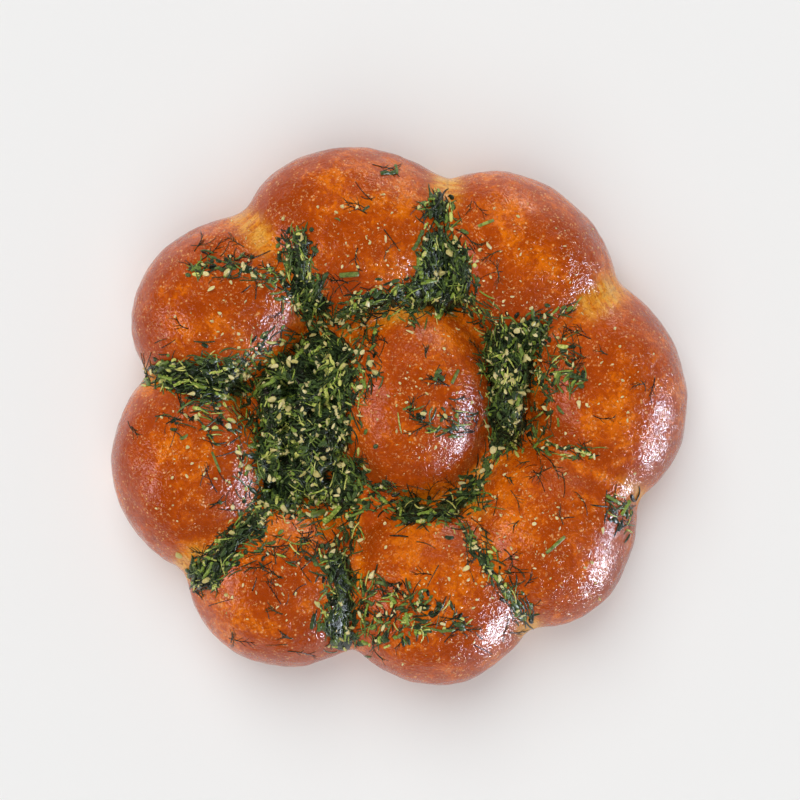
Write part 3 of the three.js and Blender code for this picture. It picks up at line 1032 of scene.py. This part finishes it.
def make_seams(crust, heaps, crumbs, look, rng):
    """The shreds in the creases, and the flat bits of leaf on top of everything."""
    seams = Pile()
    sprinkle_seams(crust, seams, crumbs)

    def top(x, y):
        floor = crust.height(x, y)
        if floor is None:
            return None
        return floor + max(heap.thickness(x, y, LEAF_SUNK) for heap in heaps)

    for x, y, heading, length, width, tone in LEAVES:
        add_leaf(seams, top, x, y, heading, length, width, tone, rng)
    piece = seams.made("dill_in_seams", look)
    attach(piece, "root")


def make_threads(crust, look, rng):
    """Thin threads of dill round the patches and by themselves on the buns."""
    twigs = Pile()
    for name in PATCHES:
        low, high = (np.array(corner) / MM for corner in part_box(name))
        where = footprint(Ground(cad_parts[name]), low, high, 80, rng)
        area = (high[0] - low[0]) * (high[1] - low[1])
        add_twigs(twigs, crust.height, rng, where, int(4 + area / 60), 4.0)
    for x, y, reach, count in THREAD_SPOTS:
        add_twigs(twigs, crust.height, rng, [(x, y)], round(count * 0.45), reach * 0.7)
    piece = twigs.made("dill_threads", look)
    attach(piece, "root")


def strew_crumbs(crust, crumbs, rng):
    """Small crumbs of garlic over the buns, fewer towards the roll's edge."""
    for _ in range(LOOSE_CRUMBS):
        x, y, long, *_ = rng.choice(list(BUNS.values()))
        px, py = x * 0.86 + rng.gauss(0, long * 0.36), y * 0.86 + rng.gauss(0, long * 0.36)
        z = crust.height(px, py)
        if z is not None and z > LOOSE_CRUMBS_ABOVE:
            size = rng.choice((0.6, 0.7, 0.9, 1.2, 1.6))
            add_crumb(crumbs, (px, py, z + size * 0.2), size, rng, rng.uniform(0.3, 1))


def make_herbs(crust):
    dill_look, garlic_look = dill_finish(), garlic_finish()
    crumbs = Pile()
    heaps = make_patches(crust, crumbs, dill_look)
    rng = random.Random(11)
    make_seams(crust, heaps, crumbs, dill_look, rng)
    make_threads(crust, dill_look, rng)
    strew_crumbs(crust, crumbs, rng)
    piece = crumbs.made("garlic_crumbs", garlic_look, smooth_shading=False)
    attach(piece, "root")
    return garlic_look


def make_single_pieces(crust, garlic_look):
    """The frame's own stems and larger crumbs, each as big as it is, and resting on the crust."""
    stem_look = stem_finish()
    for name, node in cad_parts.items():
        points = np.array([v.co for v in node.data.vertices]) / MM
        centre = (points.min(axis=0) + points.max(axis=0)) / 2
        rng = random.Random(name)
        if name.startswith("stem_"):
            axes = np.linalg.svd(points - centre)[2]
            reach = (points - centre) @ axes[0]
            radius = np.ptp((points - centre) @ axes[2]) / 2
            steps = np.linspace(reach.min(), reach.max(), len(STEM_SHAPE))
            path = centre + steps[:, None] * axes[0]
            path[:, 2] = [crust.height(x, y) + radius * 0.4 for x, y in path[:, :2]]
            pile = Pile()
            radii = radius * np.array(STEM_SHAPE)
            add_tube(pile, path, radii * 0.8, rng.uniform(0.1, 0.8), 12, 0.6, 0.7)
            piece = pile.made("cut_" + name, stem_look)
        elif name.startswith("garlic_"):
            pile = Pile()
            size = np.ptp(points, axis=0).max()
            centre[2] = crust.height(*centre[:2]) + size * 0.2
            add_crumb(pile, centre, size, rng, rng.uniform(0.6, 1))
            piece = pile.made("minced_" + name, garlic_look, smooth_shading=False)
        else:
            continue
        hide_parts(name)
        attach(piece, "root")


# ---- Stage ----

FLOOR_REACH = 3  # metres
FLOOR_LIFT = 0.03  # how far the floor lies above the base


def make_floor():
    """A matt floor that is clear from below, and a hair above the base, so that the base shows."""
    corners = np.array([(-1, -1, 0), (1, -1, 0), (1, 1, 0), (-1, 1, 0)]) * FLOOR_REACH
    corners = corners + (0, 0, FLOOR_LIFT * MM)
    floor = mesh_object("floor", corners, [[0, 1, 2, 3]], smooth_shading=False)
    f = Finish("pale floor")
    paint = f.node("ShaderNodeBsdfDiffuse", None, {0: (0.90, 0.90, 0.90, 1)})
    clear = f.node("ShaderNodeBsdfTransparent")
    from_below = f.node("ShaderNodeNewGeometry", output="Backfacing")
    shader = f.node("ShaderNodeMixShader", None, {0: from_below, 1: paint, 2: clear})
    f.node("ShaderNodeOutputMaterial", None, {"Surface": shader})
    floor.data.materials.append(f.material)


def add_light(name, heading, elevation, spread, strength, colour, in_gloss):
    """Even light from far off: its heading and height in degrees, and how wide it looks.

    The softboxes light the roll and the floor. The rest show only as glints on what is glossy.
    """
    light = bpy.data.lights.new(name, "SUN")
    light.energy, light.color, light.angle = strength, colour, math.radians(spread)
    made = bpy.data.objects.new(name, light)
    turn, rise = math.radians(heading), math.radians(elevation)
    way = Vector((math.cos(turn) * math.cos(rise), math.sin(turn) * math.cos(rise), math.sin(rise)))
    made.location = way
    made.rotation_euler = (-way).to_track_quat("-Z", "Y").to_euler()
    made.visible_diffuse, made.visible_glossy = not in_gloss, in_gloss
    bpy.context.scene.collection.objects.link(made)


# The room's light by height: a share of the way from straight down to overhead, and how bright.
ROOM_STOPS = [(0.0, 0.6), (0.50, 0.9), (0.58, 0.62), (0.70, 0.36), (0.85, 0.16), (1.0, 0.10)]
DIMMED_IN_GLOSS = 0.81  # the share of the room's light that doesn't show in gloss


def make_room():
    world = bpy.data.worlds.new("studio")
    bpy.context.scene.world = world
    world.use_nodes = True
    room = NodeTree(world.node_tree)
    way = room.node("ShaderNodeTexCoord", output="Generated")
    rise = room.node("ShaderNodeSeparateXYZ", None, {0: way}, output=2) * 0.5 + 0.5
    stops = [(place, (shade * 0.98, shade * 0.99, shade)) for place, shade in ROOM_STOPS]
    colour = room.node("ShaderNodeValToRGB", {"stops": stops}, {0: rise})
    in_gloss = room.node("ShaderNodeLightPath", output="Is Glossy Ray")
    strength = 1 - DIMMED_IN_GLOSS * in_gloss
    background = room.node("ShaderNodeBackground", None, {0: colour, 1: strength})
    room.node("ShaderNodeOutputWorld", None, {"Surface": background})
    bpy.context.scene.view_settings.view_transform = "Standard"


# Each light's name, heading, elevation, width, strength, colour and whether only gloss shows it.
LIGHTS = [
    ("north softbox", 108, 52, 50, 1.70, (1.0, 0.995, 0.985), False),
    ("south softbox", -98, 56, 60, 1.22, (1.0, 0.995, 0.985), False),
    ("north sky", 62, 12, 46, 0.36, (1.0, 0.88, 0.74), True),
    ("east sky", -48, 12, 46, 0.38, (1.0, 0.82, 0.84), True),
    ("north window", 74, 11, 16, 0.45, (1.0, 0.95, 0.86), True),
    ("high window", 100, 44, 9, 0.10, (1.0, 0.90, 0.80), True),
    ("ceiling lamp", -30, 60, 6, 0.075, (1.0, 0.92, 0.86), True),
    ("east window", -36, 6, 22, 5.8, (0.78, 0.87, 1.0), True),
    ("far east window", -8, 12, 15, 2.4, (0.72, 0.85, 1.0), True),
    ("west window", -168, 31, 22, 0.85, (1.0, 0.76, 0.78), True),
]


CAMERA_PLACE = (0.4, 5.7, 666)
WIDEST_LINE = 16  # the height of the roll's widest line
VIEW_WIDTH = 304  # at that height


def make_camera():
    data = bpy.data.cameras.new("camera")
    data.sensor_width = 36
    data.lens = data.sensor_width * (CAMERA_PLACE[2] - WIDEST_LINE) / VIEW_WIDTH
    camera = bpy.data.objects.new("camera", data)
    camera.location = [part * MM for part in CAMERA_PLACE]
    bpy.context.scene.collection.objects.link(camera)
    bpy.context.scene.camera = camera


def main():
    make_camera()
    make_room()
    for light in LIGHTS:
        add_light(*light)
    make_floor()
    crust = make_crust()
    crust.data.materials.append(crust_finish())
    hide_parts("bread")
    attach(crust, "root")
    bpy.context.view_layer.update()
    ground = Ground(crust)
    garlic_look = make_herbs(ground)
    make_single_pieces(ground, garlic_look)


main()
bpy.context.view_layer.update()
